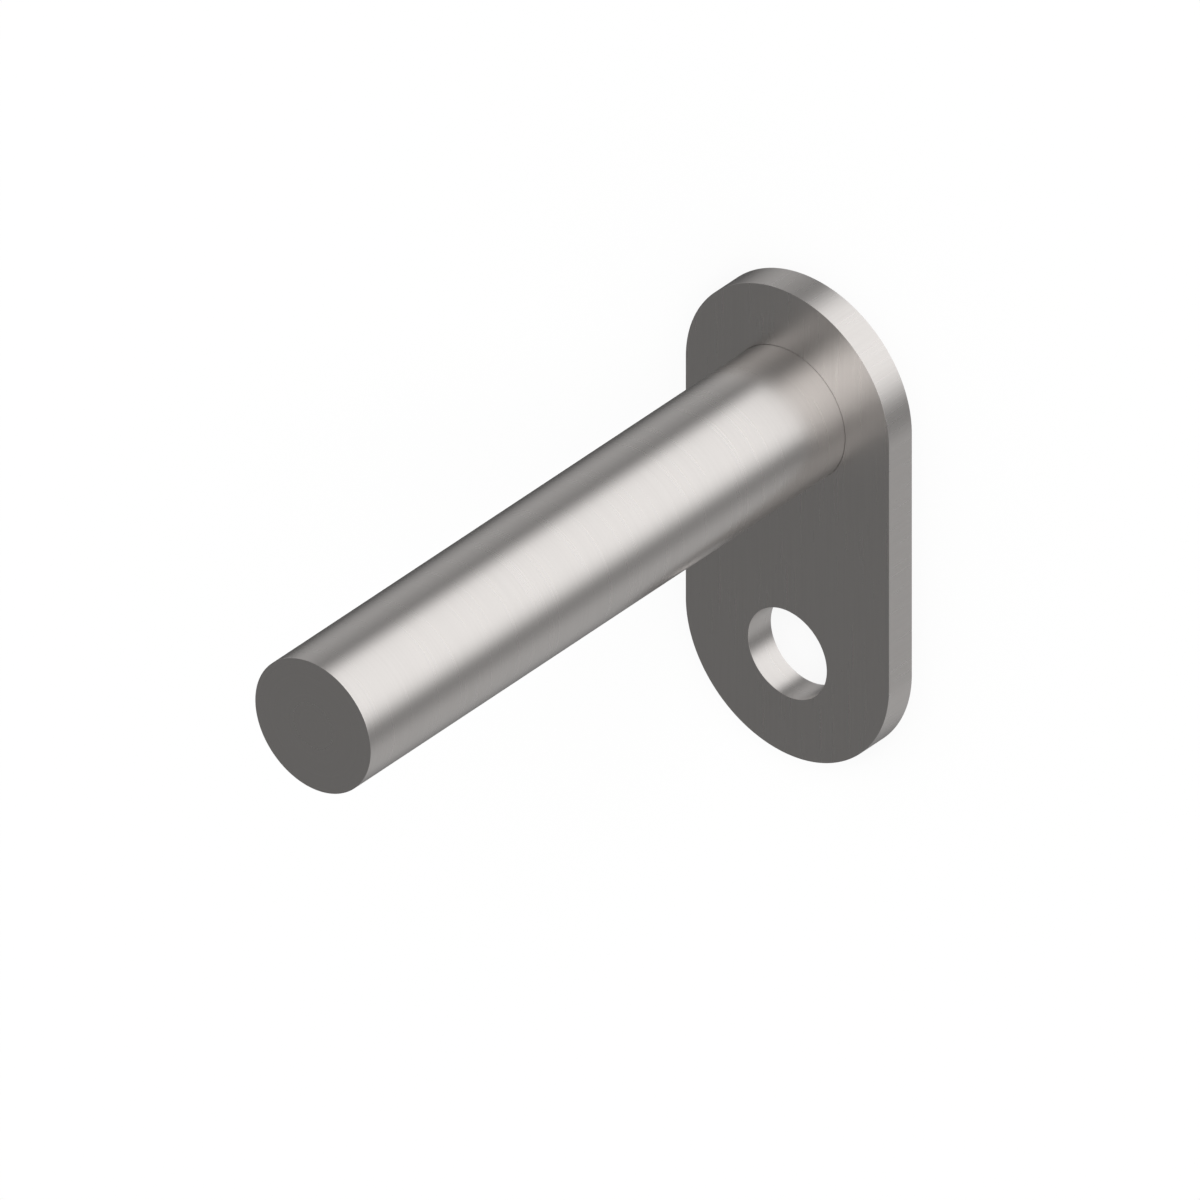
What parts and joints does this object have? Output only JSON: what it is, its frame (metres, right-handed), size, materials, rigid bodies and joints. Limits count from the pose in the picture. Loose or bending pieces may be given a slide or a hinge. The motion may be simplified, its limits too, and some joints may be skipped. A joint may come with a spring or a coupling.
{
  "type": "pivot pin",
  "caption": "Round pivot pin welded through one end of a flat keeper plate with round ends; a keeper bolt hole is in the other end.",
  "frame": {"origin": "where the pin's axis crosses the plate's front (seat) face, which is where the journal starts", "axes": "+Z along the pin from the seat face to its free end, +X from the pin towards the keeper hole; the plate's back face is at z = -6 mm"},
  "size_m": [0.092, 0.044, 0.13],
  "materials": {
    "turned_bar": "satin, fine turned",
    "cut_plate": "satin, brushed along its length",
    "dressed_weld": "ground flush"
  },
  "bodies": {
    "root": {"pin": "turned_bar", "flag_plate": "cut_plate", "weld_seam": "dressed_weld"}
  },
  "joints": []
}
